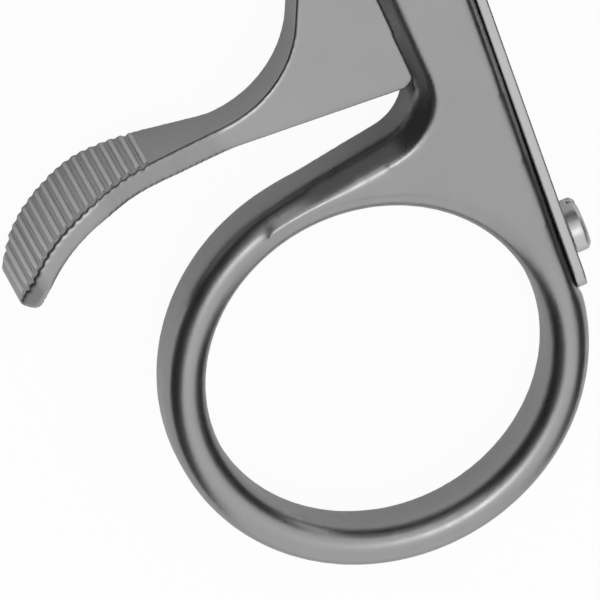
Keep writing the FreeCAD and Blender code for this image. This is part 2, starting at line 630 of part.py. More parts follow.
def make_rack():
    """The ratchet's arc bar, with undercut teeth on the side of the finger rings."""
    rack = new_body("ratchet_rack")
    rack.Placement = FreeCAD.Placement(rack.Placement.Base,
                                       FreeCAD.Rotation(FreeCAD.Vector(0, 0, 1), value(RACK_ROOT)))
    rack.setExpression("Placement.Rotation.Angle", bind(RACK_ROOT + "+360"))
    section = new_sketch(rack, "rack_section", "XZ_Plane")
    draw_outline(section, [
        (RACK_INNER, "-rack_depth/2", None), ("rack_crest", "-rack_depth/2", None),
        ("rack_crest", "rack_depth/2", None), (RACK_INNER, "rack_depth/2", None)])
    revolve(rack, section, "Revolution", (section, ["V_Axis"]), "%s-%s" % (RACK_FREE, RACK_ROOT))
    pins = new_sketch(rack, "rack_pin_holes")
    draw_circle(pins, *polar(RACK_MID, "%s-%s" % (RACK_PIN_ANGLE, RACK_ROOT)), "rack_pin_radius")
    draw_circle(pins, *polar(RACK_MID, "%s-%s" % (STOP_PIN_ANGLE, RACK_ROOT)), "stop_pin_radius")
    extrude(rack, pins, "Pocket", None)
    gap = new_sketch(rack, "tooth_gap")
    last = "(%s-nose_turn-swing-%s)" % (LEVER_PIN_ANGLE, RACK_ROOT)
    draw_outline(gap, [
        polar("rack_crest-tooth_depth", last + "+" + along_arc("tooth_floor/2")) + (None,),
        polar("rack_crest+tooth_overcut", last + "+" + along_arc(
            "tooth_floor/2-(tooth_depth+tooth_overcut)*tan(tooth_undercut)")) + (None,),
        polar("rack_crest+tooth_overcut", last + "-" + along_arc(
            "tooth_floor/2+tooth_run*(tooth_depth+tooth_overcut)/tooth_depth")) + (None,),
        polar("rack_crest-tooth_depth", last + "-" + along_arc("tooth_floor/2")) + (None,)])
    cut = extrude(rack, gap, "Pocket", None)
    repeat_round(rack, cut, (plane_of(rack, "Z_Axis"), [""]), "swing", "swing_steps+1")
    return rack


def make_lever():
    """The release lever: nose, eye, plate, heel, neck and serrated thumb pad."""
    lever = new_body("release_lever")
    pad_x = "ring_x-pad_centre_x"
    pad_y = "pad_centre_y-ring_y"

    def on_pad(radius, angle):
        return ("%s-(%s)*sin(%s)" % (pad_x, radius, angle), "%s+(%s)*cos(%s)" % (pad_y, radius, angle))

    def pad_corner(radius):
        """The corner in which the pad's two end tangents meet."""
        return on_pad("(%s)/cos((pad_end-pad_start)/2)" % radius, "(pad_end+pad_start)/2")

    def pad_tip(radius):
        """A corner of the tip, a short way beyond the curve's end."""
        x, y = on_pad(radius, "pad_end")
        return "%s-pad_tip*cos(pad_end)" % x, "%s-pad_tip*sin(pad_end)" % y

    under = "(pad_radius-pad_thick)"
    heel = "(%s-heel_half-screw_along-screw_head_radius)*tan(spring_lift)-heel_gap" % HEEL_ALONG
    # The straight line from the pad meets the upright side of the plate
    rise = "((plate_x-(%s))/cos(pad_start))" % on_pad("pad_radius", "pad_start")[0]
    hollow = ("plate_x", "%s+%s*sin(pad_start)" % (on_pad("pad_radius", "pad_start")[1], rise))

    def near_rack(distance, turn):
        """A point at a distance from the rack's crest and a turn from the lever pin."""
        return polar("rack_crest+(%s)" % distance, "%s-(%s)" % (LEVER_PIN_ANGLE, turn))

    body = new_sketch(lever, "lever_outline")
    draw_outline(body, [
        near_rack("plate_head_rise", "plate_head_turn") + (None,),
        ("plate_x", hollow[1] + "+plate_bend_rise", "plate_bend_round"),
        hollow + ("plate_round",),
        pad_corner("pad_radius") + ("pad_radius",),
        pad_tip("pad_radius") + ("pad_thick*0.35",),
        pad_tip(under) + ("pad_thick*0.35",),
        pad_corner(under) + (under,),
        ("ring_x+plate_foot_x", "plate_foot_y-ring_y", "plate_foot_round"),
        on_shank("back_low_along", "back_low_inset") + ("lever_soft",),
        on_shank(LEVER_PIN_ALONG + "-back_reach", "back_inset") + ("lever_soft",),
        on_shank(HEEL_ALONG + "-heel_half", "-(%s)" % heel) + ("lever_soft",),
        on_shank(HEEL_ALONG + "+heel_half", "-(%s)" % heel) + ("lever_soft",),
        on_shank(LEVER_PIN_ALONG + "-back_top_reach", "back_inset") + (None,),
        LEVER_PIN + (None,),
        near_rack("brow_rise", "brow_turn") + (None,),
        near_rack("nose_root_rise", "nose_root_turn") + (None,)])
    extrude(lever, body, "Pad", "pad_width")

    # The nose is drawn where it engages and turned back to where it is just clear of the teeth
    nose = new_sketch(lever, "lever_nose", shift={
        "x": "(%s)*(1-cos(lever_engage))+(%s)*sin(lever_engage)" % LEVER_PIN,
        "y": "(%s)*(1-cos(lever_engage))-(%s)*sin(lever_engage)" % (LEVER_PIN[1], LEVER_PIN[0])},
        turn=(UPRIGHT, "lever_engage"))
    steep = "(tooth_floor/2-nose_clearance)"
    sloping = "(tooth_floor/2-nose_clearance*2)"
    draw_outline(nose, [
        near_rack(distance, "nose_turn-" + along_arc(run)) + (None,)
        for distance, run in (
            ("nose_clearance-tooth_depth", steep),
            ("nose_rise", steep + "-(tooth_depth+nose_rise)*tan(tooth_undercut)"),
            ("nose_rise", "0-%s-tooth_run*(tooth_depth+nose_rise)/tooth_depth" % sloping),
            ("nose_clearance-tooth_depth", "0-%s-tooth_run*nose_clearance/tooth_depth" % sloping))])
    extrude(lever, nose, "Pad", "lever_depth")
    eye = new_sketch(lever, "lever_eye")
    draw_circle(eye, *LEVER_PIN, "lever_eye")
    extrude(lever, eye, "Pad", "lever_depth")

    # Seen from the palm, the plate is narrow and widens through the neck into the pad
    sides = new_sketch(lever, "lever_sides", "XZ_Plane", turn=(CROSSWISE, "pad_diagonal"))
    for face in ("", "-"):
        draw_outline(sides, [
            ("lever_eye*2", face + "(lever_depth/2)", None),
            ("-pad_neck", face + "(lever_depth/2)", "pad_neck_round"),
            ("-pad_shoulder", face + "(pad_width/2)", "pad_shoulder_round"),
            ("-pad_rounding", face + "(pad_width/2)", "pad_corner_round"),
            ("-pad_far", face + "(pad_tip_width/2)", None),
            ("-pad_far", face + "pad_width", None),
            ("lever_eye*2", face + "pad_width", None)])
    extrude(lever, sides, "Pocket", None)
    bore = new_sketch(lever, "lever_bore")
    draw_circle(bore, *LEVER_PIN, "lever_pin_radius+lever_pin_fit")
    extrude(lever, bore, "Pocket", None)

    # Grooves across the pad, turned about the centre of its curve
    groove = new_sketch(lever, "pad_groove", shift={"x": pad_x, "y": pad_y})
    first = "(90+pad_start+groove_pitch*0.6)"
    draw_outline(groove, [
        polar("pad_radius-groove_depth", first) + (None,),
        polar("pad_radius+groove_depth", first + "+groove_half*2/pad_radius*180/3.14159265") + (None,),
        polar("pad_radius+groove_depth", first + "-groove_half*2/pad_radius*180/3.14159265") + (None,)])
    cut = extrude(lever, groove, "Pocket", None)
    repeat_round(lever, cut, (groove, ["N_Axis"]), "groove_pitch*(groove_count-1)", "groove_count")
    return lever


def face_shank(item, holder, along, out):
    """Stand an item's frame on the shank's outer face: Z points out of the shank, X along it."""
    along_shank = FreeCAD.Vector(-value("sin(shank_lean)"), value("cos(shank_lean)"), 0)
    out_of_shank = FreeCAD.Vector(value("cos(shank_lean)"), value("sin(shank_lean)"), 0)
    turn = FreeCAD.Rotation(along_shank, FreeCAD.Vector(), out_of_shank, "ZXY")
    setattr(item, holder, FreeCAD.Placement(getattr(item, holder).Base, turn))
    x, y = on_shank(along, "-(%s)" % out)
    item.setExpression(holder + ".Base.x", bind(x))
    item.setExpression(holder + ".Base.y", bind(y))


def make_spring():
    """The leaf spring: a strip with rounded ends that lifts a little from the shank."""
    spring = new_body("leaf_spring")
    face_shank(spring, "Placement", "screw_along", "0")
    head = "(%s+spring_tip-screw_along)" % HEEL_ALONG
    plan = new_sketch(spring, "spring_plan")
    draw_outline(plan, [
        ("-spring_tail", "-spring_width/2", "spring_width*0.4"),
        (head, "-spring_width/2", "spring_width*0.3"),
        (head, "spring_width/2", "spring_width*0.3"),
        ("-spring_tail", "spring_width/2", "spring_width*0.4")])
    extrude(spring, plan, "Pad", "spring_thick*3", side="One side")
    side = new_sketch(spring, "spring_side", "XZ_Plane")
    lifted = "(%s+1-screw_head_radius)*tan(spring_lift)" % head
    draw_outline(side, [
        ("screw_head_radius", "0", None), ("screw_head_radius", "-1", None),
        (head + "+1", "-1", None), (head + "+1", lifted, None)])
    draw_outline(side, [
        ("-spring_tail-1", "spring_thick", None), ("screw_head_radius", "spring_thick", None),
        (head + "+1", "spring_thick+" + lifted, None), (head + "+1", "spring_thick*5", None),
        ("-spring_tail-1", "spring_thick*5", None)])
    extrude(spring, side, "Pocket", None)
    hole = new_sketch(spring, "spring_hole")
    draw_circle(hole, "0", "0", "screw_radius+screw_fit")
    extrude(spring, hole, "Pocket", None)
    return spring


def make_spring_screw():
    """The cheese head screw that clamps the spring."""
    screw = new_body("spring_screw")
    face_shank(screw, "Placement", "screw_along", "0")
    profile = new_sketch(screw, "screw_profile", "XZ_Plane")
    top = "spring_thick+screw_head_height"
    draw_outline(profile, [
        ("0", "-screw_reach", None), ("screw_radius", "-screw_reach", None),
        ("screw_radius", "spring_thick", None), ("screw_head_radius", "spring_thick", None),
        ("screw_head_radius", top + "-screw_head_bevel", None),
        ("screw_head_radius-screw_head_bevel", top, None), ("0", top, None)])
    revolve(screw, profile, "Revolution", (profile, ["V_Axis"]))
    slot = new_sketch(screw, "screw_driver_slot", shift={"z": top})
    draw_slot(slot, "screw_head_radius")
    extrude(screw, slot, "Pocket", "screw_head_height*0.5", side="One side")
    return screw


def draw_slot(sketch, reach):
    """Draw a driver slot across a screw's head."""
    draw_outline(sketch, [
        ("-(%s)*1.2" % reach, "-screw_slot/2", None), ("(%s)*1.2" % reach, "-screw_slot/2", None),
        ("(%s)*1.2" % reach, "screw_slot/2", None), ("-(%s)*1.2" % reach, "screw_slot/2", None)])


def make_pin(label, spot, radius, length):
    """A plain pin with bevelled ends, upright through the middle plane."""
    pin = new_body(label)
    pin.setExpression("Placement.Base.x", bind(spot[0]))
    pin.setExpression("Placement.Base.y", bind(spot[1]))
    profile = new_sketch(pin, "profile_" + label, "XZ_Plane")
    half = "(%s)/2" % length
    bevel = "pin_bevel"
    draw_outline(profile, [
        ("0", "-" + half, None), ("%s-%s" % (radius, bevel), "-" + half, None),
        (radius, "-%s+%s" % (half, bevel), None), (radius, "%s-%s" % (half, bevel), None),
        ("%s-%s" % (radius, bevel), half, None), ("0", half, None)])
    revolve(pin, profile, "Revolution", (profile, ["V_Axis"]))
    return pin


def make_sunk_screw(label, radius, head, low, high):
    """A countersunk screw along its body's Z, with a driver slot in its head."""
    screw = new_body(label)
    profile = new_sketch(screw, "profile_" + label, "XZ_Plane")
    draw_outline(profile, [
        ("0", low, None), ("%s-pin_bevel" % radius, low, None), (radius, low + "+pin_bevel", None),
        (radius, "%s-(%s-%s)" % (high, head, radius), None), (head, high, None), ("0", high, None)])
    revolve(screw, profile, "Revolution", (profile, ["V_Axis"]))
    slot = new_sketch(screw, "slot_" + label, shift={"z": high})
    draw_slot(slot, head)
    extrude(screw, slot, "Pocket", "screw_slot*1.3", side="One side")
    return screw


def make_hinge_screw(label, side):
    """The screw of a blade's hinge, its head in the outer cheek."""
    screw = make_sunk_screw(label, "hinge_pin", "hinge_head", "-hinge_width/2", "hinge_width/2")
    turn = FreeCAD.Rotation(FreeCAD.Vector(0, 1, 0), 90 * side)
    screw.Placement = FreeCAD.Placement(screw.Placement.Base, turn)
    screw.setExpression("Placement.Base.x", bind(on_side(side, ("hinge_x",))[0][0]))
    screw.setExpression("Placement.Base.y", bind("hinge_y"))
    return screw


def make_blade(label, side, prongs):
    """A hinged blade: fork, bar, upright plate and a row of blunt prongs that turn outwards."""
    blade = new_body(label)
    middle = {"z": on_side(side, ("hinge_x",))[0][0]}
    tip = "(hinge_y+blade_reach)"

    # Bar seen from the side, deep at the fork and slim beyond it
    bar = new_sketch(blade, "bar_" + label, "YZ_Plane", middle)
    draw_outline(bar, [
        ("hinge_y-hinge_round", "-hinge_round", "hinge_round*0.98"),
        (HINGE_SWELL, "-hinge_round", "bar_sweep"),
        (HINGE_SLIM, "-blade_depth/2", "bar_sweep"),
        (tip, "-blade_depth/2", "blade_depth*0.3"),
        (tip, "blade_depth/2", "blade_depth*0.3"),
        (HINGE_SLIM, "blade_depth/2", "bar_sweep"),
        (HINGE_SWELL, "hinge_round", "bar_sweep"),
        ("hinge_y-hinge_round", "hinge_round", "hinge_round*0.98")])
    extrude(blade, bar, "Pad", "hinge_width")
    fork = new_sketch(blade, "fork_" + label)
    cheek = "(tongue/2+hinge_gap)"
    draw_outline(fork, on_side(
        side,
        ("hinge_x-" + cheek, "hinge_y-hinge_round-1", None),
        ("hinge_x+" + cheek, "hinge_y-hinge_round-1", None),
        ("hinge_x+" + cheek, HINGE_ROOT, None), ("hinge_x-" + cheek, HINGE_ROOT, None)))
    extrude(blade, fork, "Pocket", None)
    slim = new_sketch(blade, "slim_" + label)
    for edge in ("-", "+"):
        draw_outline(slim, on_side(
            side,
            ("hinge_x%shinge_width/2" % edge, HINGE_SWELL, None),
            ("hinge_x%sblade_width/2" % edge, HINGE_SLIM, "bar_sweep*2"),
            ("hinge_x%sblade_width/2" % edge, tip + "+1", None),
            ("hinge_x%shinge_width" % edge, tip + "+1", None),
            ("hinge_x%shinge_width" % edge, HINGE_SWELL, None)))
    extrude(blade, slim, "Pocket", None)

    # Hinge bore, countersunk for the screw's head on the outer side
    bore = new_sketch(blade, "bore_" + label, "YZ_Plane", middle)
    draw_circle(bore, "hinge_y", "0", "hinge_pin")
    extrude(blade, bore, "Pocket", None)
    sink = new_sketch(blade, "sink_" + label, shift={"y": "hinge_y"})
    draw_outline(sink, on_side(
        side,
        ("hinge_x+hinge_width/2+pin_bevel", "hinge_pin*0.5", None),
        ("hinge_x+hinge_width/2-(hinge_head-hinge_pin*0.5)", "hinge_pin*0.5", None),
        ("hinge_x+hinge_width/2+pin_bevel", "hinge_head+pin_bevel", None)))
    revolve(blade, sink, "Groove", (sink, ["H_Axis"]))

    # Upright plate and the prongs on its upper edge
    plate = new_sketch(blade, "plate_" + label, "YZ_Plane",
                       {"z": on_side(side, ("hinge_x+rake_shift",))[0][0]})
    draw_outline(plate, [
        (tip + "-rake_length", "0-blade_depth*0.3", None),
        (tip, "0-blade_depth*0.2", None),
        (tip, "rake_rise", "prong_width*0.7"),
        (tip + "-rake_length+rake_rise*0.6", "rake_rise", "rake_round")])
    extrude(blade, plate, "Pad", "rake_thick")

    # The first prong, up from the plate and bent outwards to a blunt tip, and its repeats
    root = "(hinge_x+rake_shift)"
    reach = "(prong_bend*tan(prong_lean/2)+prong_reach)"

    def beside_bend(half):
        return ("%s+(%s)" % (root, half), "prong_rise-(%s)*tan(prong_lean/2)" % half)

    def beside_tip(half):
        return ("%s+%s*sin(prong_lean)+(%s)*cos(prong_lean)" % (root, reach, half),
                "prong_rise+%s*cos(prong_lean)-(%s)*sin(prong_lean)" % (reach, half))

    prong = new_sketch(blade, "prong_" + label, "XZ_Plane", {"z": "prong_width*0.7-%s" % tip})
    draw_outline(prong, on_side(
        side,
        (root + "-rake_thick/2", "blade_depth/4", None),
        beside_bend("-prong_middle/2") + ("prong_bend+prong_middle/2",),
        beside_tip("-prong_tip/2") + ("prong_tip*0.45",),
        beside_tip("prong_tip/2") + ("prong_tip*0.45",),
        beside_bend("prong_middle/2") + ("prong_bend-prong_middle/2",),
        (root + "+rake_thick/2", "blade_depth/4", None)))
    first = extrude(blade, prong, "Pad", "prong_width")
    repeat_backwards(blade, first, "rake_length-rake_rise*0.6-prong_width*1.8", prongs)
    return blade


def make_all():
    """Build every piece, in the order of the instrument's assembly."""
    lever_arm = make_lever_arm()
    seat = new_sketch(lever_arm, "spring_seat")
    seat_end = "screw_along-spring_tail-seat_margin"
    draw_outline(seat, [
        on_shank(seat_end, "0") + (None,), on_shank(seat_end, "-ring_width") + (None,),
        on_shank("web_crook_along", "-ring_width") + (None,), on_shank("web_crook_along", "0") + (None,)])
    extrude(lever_arm, seat, "Pocket", None)
    hole = new_sketch(lever_arm, "spring_screw_hole")
    face_shank(hole, "AttachmentOffset", "screw_along", "0")
    draw_circle(hole, "0", "0", "screw_radius")
    extrude(lever_arm, hole, "Pocket", "screw_reach+0.2", side="One side")
    return [
        lever_arm,
        make_rack_arm(),
        make_sunk_screw("pivot_screw", "pivot_radius", "pivot_head", "-joint_depth/2", "joint_depth/2"),
        make_rack(),
        make_pin("rack_pin", polar(RACK_MID, RACK_PIN_ANGLE), "rack_pin_radius", "shank_depth-pin_bevel"),
        make_pin("rack_stop_pin", polar(RACK_MID, STOP_PIN_ANGLE), "stop_pin_radius", "stop_pin_length"),
        make_lever(),
        make_pin("lever_pin", LEVER_PIN, "lever_pin_radius", "shank_depth-pin_bevel"),
        make_spring(),
        make_spring_screw(),
        make_blade("right_blade", 1, "right_prongs"),
        make_blade("left_blade", -1, "left_prongs"),
        make_hinge_screw("right_hinge_screw", 1),
        make_hinge_screw("left_hinge_screw", -1),
    ]


def check_document():
    """Stop if any object of the document is in a failed state."""
    DOC.recompute()
    for item in DOC.Objects:
        if "Invalid" in item.State or "Error" in item.State:
            raise RuntimeError("%s failed" % item.Label)


def write_pieces(pieces):
    """Write each piece's solids to its own file."""
    os.makedirs("parts", exist_ok=True)
    for piece in pieces:
        shape = piece.Shape
        if shape.isNull() or not shape.isValid() or not shape.Solids:
            raise RuntimeError("%s has no valid solid" % piece.Label)
        shape.exportStep("parts/%s.step" % piece.Label)
        print("%-18s %d solid, %9.2f mm3" % (piece.Label, len(shape.Solids), shape.Volume))


PIECES = make_all()
check_document()
write_pieces(PIECES)
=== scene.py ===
"""Self retaining retractor in satin steel, on a pale table under soft studio light."""
import json
import math

import bmesh
import bpy
from mathutils import Matrix, Vector


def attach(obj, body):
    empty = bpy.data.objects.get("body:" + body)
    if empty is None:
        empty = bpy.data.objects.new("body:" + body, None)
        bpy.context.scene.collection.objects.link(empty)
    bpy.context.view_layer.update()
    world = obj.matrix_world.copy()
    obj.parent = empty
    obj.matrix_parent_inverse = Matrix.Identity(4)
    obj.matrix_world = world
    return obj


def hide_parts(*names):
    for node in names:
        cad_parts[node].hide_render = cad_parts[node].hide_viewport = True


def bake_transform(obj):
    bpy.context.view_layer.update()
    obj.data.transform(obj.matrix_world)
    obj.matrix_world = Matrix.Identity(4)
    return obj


bl_info = {
    "name": "Self retaining retractor",
    "version": (1, 0, 0),
    "blender": (4, 5, 0),
    "location": "View3D > Sidebar > Retractor",
    "description": "Softened steel forms, finishes and studio for a ring handled retractor",
    "category": "Object",
}

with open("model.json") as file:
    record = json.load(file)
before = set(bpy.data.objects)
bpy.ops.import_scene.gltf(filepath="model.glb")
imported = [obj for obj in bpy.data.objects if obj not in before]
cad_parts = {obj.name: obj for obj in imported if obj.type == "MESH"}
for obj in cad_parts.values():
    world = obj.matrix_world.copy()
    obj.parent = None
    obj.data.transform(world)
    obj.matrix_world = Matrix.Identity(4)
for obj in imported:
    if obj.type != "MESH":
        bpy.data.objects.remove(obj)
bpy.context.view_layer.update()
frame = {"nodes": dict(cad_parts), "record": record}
MM = 0.001

# Places that the lever's ribs, the polishing lines and the studio follow
RING_CENTRE = Vector((46.0, -90.0, 4.35)) * MM
PAD_CENTRE = RING_CENTRE + Vector((-14.6, 5.05, 0.0)) * MM
PAD_RADIUS = 14.3 * MM
RIB_FIRST = math.radians(109.06)
RIB_PITCH = math.radians(3.12)
RIB_INSET = 0.12 * MM
RIB_SEED = 4
SHANK_LEAN = math.radians(21.4)

# The photograph's view: right, up and back of the camera
VIEW = Matrix(((0.9697, 0.0525, -0.2386), (0.0525, 0.9091, 0.4132), (0.2386, -0.4132, 0.8788)))
VIEW_SHIFT = (-5.53 * MM, 4.47 * MM)
CLIP_NEAR, CLIP_FAR = 0.01, 20.0

# Corners closer than this are one corner
WELD = 0.0005 * MM

# The table, the lamp and the cards, in metres
TABLE_HALF, TABLE_LEVEL = 1.5, -0.03 * MM
KEY_TOWARD = Vector((0.0, -0.05, 1.0)).normalized()
KEY_DISTANCE = 0.9
CARD_DISTANCE = 0.5
CARD_STEPS = 24

# Each card's name, first and last direction in degrees, lower and upper edge, and shade
CARDS = (
    ("left_card", 135, 250, 0.03, 1.2, 0.03),
    ("back_card", 55, 135, 0.03, 0.25, 0.03),
    ("upper_back_card", 55, 135, 0.25, 0.6, 0.3),
    ("right_card", -45, 40, 0.0, 0.5, 0.03))


class RetractorForms(bpy.types.PropertyGroup):
    """Sizes of the softened forms."""

    arm_grid: bpy.props.FloatProperty(
        name="Arm grid", description="Grid on which the arms' edges are softened",
        default=0.26 * MM, min=0.15 * MM, max=1 * MM, precision=5, subtype="DISTANCE", unit="LENGTH")
    blade_grid: bpy.props.FloatProperty(
        name="Blade grid", description="Grid on which the blades' edges are softened",
        default=0.18 * MM, min=0.1 * MM, max=1 * MM, precision=5, subtype="DISTANCE", unit="LENGTH")
    lever_grid: bpy.props.FloatProperty(
        name="Lever grid", description="Grid on which the release lever's edges are softened",
        default=0.13 * MM, min=0.1 * MM, max=1 * MM, precision=5, subtype="DISTANCE", unit="LENGTH")
    small_grid: bpy.props.FloatProperty(
        name="Small grid", description="Grid of the spring, the pins and the screws",
        default=0.1 * MM, min=0.1 * MM, max=1 * MM, precision=5, subtype="DISTANCE", unit="LENGTH")
    arm_softness: bpy.props.IntProperty(
        name="Arm softness", description="Smoothing passes over the arms", default=10, min=0, max=40)
    lever_softness: bpy.props.IntProperty(
        name="Lever softness", description="Smoothing passes over the release lever", default=14,
        min=0, max=40)
    small_softness: bpy.props.IntProperty(
        name="Small softness", description="Smoothing passes over small parts", default=2, min=0, max=40)
    rib_count: bpy.props.IntProperty(
        name="Ribs", description="Number of ribs on the thumb pad", default=19, min=1, max=40)
    rib_width: bpy.props.FloatProperty(
        name="Rib width", description="Width of a rib's rounded back", default=0.5 * MM,
        min=0.1 * MM, max=1 * MM, precision=5, subtype="DISTANCE", unit="LENGTH")
    rib_height: bpy.props.FloatProperty(
        name="Rib height", description="Half of a rib's rounded height", default=0.3 * MM,
        min=0.05 * MM, max=1 * MM, precision=5, subtype="DISTANCE", unit="LENGTH")
    rib_proud: bpy.props.FloatProperty(
        name="Rib proud", description="How far the ribs stand above the pad's face", default=0.14 * MM,
        min=0, max=0.5 * MM, precision=5, subtype="DISTANCE", unit="LENGTH")
    rib_uneven: bpy.props.FloatProperty(
        name="Rib unevenness", description="Largest turn of a rib from its even place",
        default=math.radians(0.2), min=0, max=0.1, subtype="ANGLE")
    bend_start: bpy.props.FloatProperty(
        name="Bend start", description="Where the leaf spring begins to give, along the shank",
        default=34 * MM, precision=5, subtype="DISTANCE", unit="LENGTH")
    bend_end: bpy.props.FloatProperty(
        name="Bend end", description="Where the leaf spring follows the lever, along the shank",
        default=41.8 * MM, precision=5, subtype="DISTANCE", unit="LENGTH")


class RetractorFinish(bpy.types.PropertyGroup):
    """Colours and gloss of the steel."""

    satin: bpy.props.FloatVectorProperty(
        name="Satin steel", description="Colour of the arms, lever, rack and blades",
        default=(0.34, 0.34, 0.342), size=3, min=0, max=1, subtype="COLOR")
    spring: bpy.props.FloatVectorProperty(
        name="Spring steel", description="Colour of the leaf spring",
        default=(0.5, 0.5, 0.502), size=3, min=0, max=1, subtype="COLOR")
    polished: bpy.props.FloatVectorProperty(
        name="Polished steel", description="Colour of the pins and screws",
        default=(0.58, 0.58, 0.582), size=3, min=0, max=1, subtype="COLOR")
    # The ribs' steel is a lighter copy of the satin steel: a painted reflection of the bright table on the
    # ribs
    painted_rib_reflection: bpy.props.FloatVectorProperty(
        name="Painted reflection steel", description="Colour of the thumb pad's ribs, lightened to paint the table's reflection",
        default=(0.52, 0.52, 0.522), size=3, min=0, max=1, subtype="COLOR")
    satin_gloss: bpy.props.FloatProperty(
        name="Satin roughness", description="Roughness of satin steel", default=0.3, min=0, max=1,
        subtype="FACTOR")
    polished_gloss: bpy.props.FloatProperty(
        name="Polished roughness", description="Roughness of polished steel", default=0.36, min=0, max=1,
        subtype="FACTOR")


class RetractorStudio(bpy.types.PropertyGroup):
    """Light, floor and camera."""

    key_power: bpy.props.FloatProperty(
        name="Key light", description="Power of the soft lamp above", default=0.57, min=0,
        subtype="POWER", unit="POWER")
    key_size: bpy.props.FloatProperty(
        name="Key size", description="Diameter of the soft lamp above", default=0.3, min=0.01,
        subtype="DISTANCE", unit="LENGTH")
    floor_grey: bpy.props.FloatProperty(
        name="Floor", description="Paleness of the table", default=0.8, min=0, max=1, subtype="FACTOR")
    floor_white: bpy.props.FloatProperty(
        name="Floor white", description="How white the picture shows the table, from 0 to 1", default=0.95,
        min=0, max=1, subtype="FACTOR")
    lens: bpy.props.FloatProperty(
        name="Lens", description="Focal length, long as in a catalogue close-up", default=1200.0, min=50,
        subtype="DISTANCE_CAMERA")
    view_width: bpy.props.FloatProperty(
        name="View width", description="Width that the picture covers at the finger ring",
        default=45.45 * MM, precision=5, subtype="DISTANCE", unit="LENGTH")


# Shader node groups and materials

def new_group(name, inputs, outputs):
    """An empty shader node group with named sockets."""
    group = bpy.data.node_groups.new(name, "ShaderNodeTree")
    for label, kind, default in inputs:
        socket = group.interface.new_socket(name=label, in_out="INPUT", socket_type=kind)
        socket.default_value = default
    for label, kind in outputs:
        group.interface.new_socket(name=label, in_out="OUTPUT", socket_type=kind)
    return group, group.nodes.new("NodeGroupInput"), group.nodes.new("NodeGroupOutput")


def add(tree, kind, links=(), **settings):
    """Add a node, set its properties and feed its inputs from sockets or values."""
    node = tree.nodes.new(kind)
    for name, setting in settings.items():
        setattr(node, name, setting)
    for key, source in dict(links).items():
        if isinstance(source, bpy.types.NodeSocket):
            tree.links.new(source, node.inputs[key])
        else:
            node.inputs[key].default_value = source
    return node


def satin_grain_group():
    """Fine blasted grain, faint polishing lines and slow clouds over a steel surface."""
    group, given, out = new_group(
        "Satin grain",
        (("Grain Scale", "NodeSocketFloat", 3800.0), ("Line Scale", "NodeSocketFloat", 900.0),
         ("Cloud Scale", "NodeSocketFloat", 90.0)),
        (("Grain", "NodeSocketFloat"), ("Lines", "NodeSocketFloat"), ("Clouds", "NodeSocketFloat")))
    place = add(group, "ShaderNodeTexCoord").outputs["Object"]
    grain = add(group, "ShaderNodeTexNoise", {
        "Vector": place, "Scale": given.outputs["Grain Scale"], "Detail": 3.0, "Roughness": 0.6})
    stretch = add(group, "ShaderNodeMapping", {
        "Vector": place, "Rotation": (0.0, 0.0, -SHANK_LEAN), "Scale": (1.0, 0.05, 1.0)})
    lines = add(group, "ShaderNodeTexNoise", {
        "Vector": stretch.outputs["Vector"], "Scale": given.outputs["Line Scale"], "Detail": 4.0,
        "Roughness": 0.7})
    clouds = add(group, "ShaderNodeTexNoise", {
        "Vector": place, "Scale": given.outputs["Cloud Scale"], "Detail": 2.0})
    for label, node in (("Grain", grain), ("Lines", lines), ("Clouds", clouds)):
        group.links.new(node.outputs["Fac"], out.inputs[label])
    return group


def edge_wear_and_highlight_group():
    """A mask of the convex edges, where the steel's colour is lightened: partly handling wear, partly painted
    highlight.
    """
    group, given, out = new_group(
        "Edge wear and painted highlight",
        (("Pointiness", "NodeSocketFloat", 0.5), ("Start", "NodeSocketFloat", 0.52),
         ("Full", "NodeSocketFloat", 0.6), ("Break Up", "NodeSocketFloat", 0.5)),
        (("Mask", "NodeSocketFloat"),))
    ramp = add(group, "ShaderNodeMapRange", {
        "Value": given.outputs["Pointiness"], "From Min": given.outputs["Start"],
        "From Max": given.outputs["Full"]}, interpolation_type="SMOOTHSTEP")
    mask = add(group, "ShaderNodeMath", {0: ramp.outputs["Result"], 1: given.outputs["Break Up"]},
               operation="MULTIPLY")
    group.links.new(mask.outputs[0], out.inputs["Mask"])
    return group


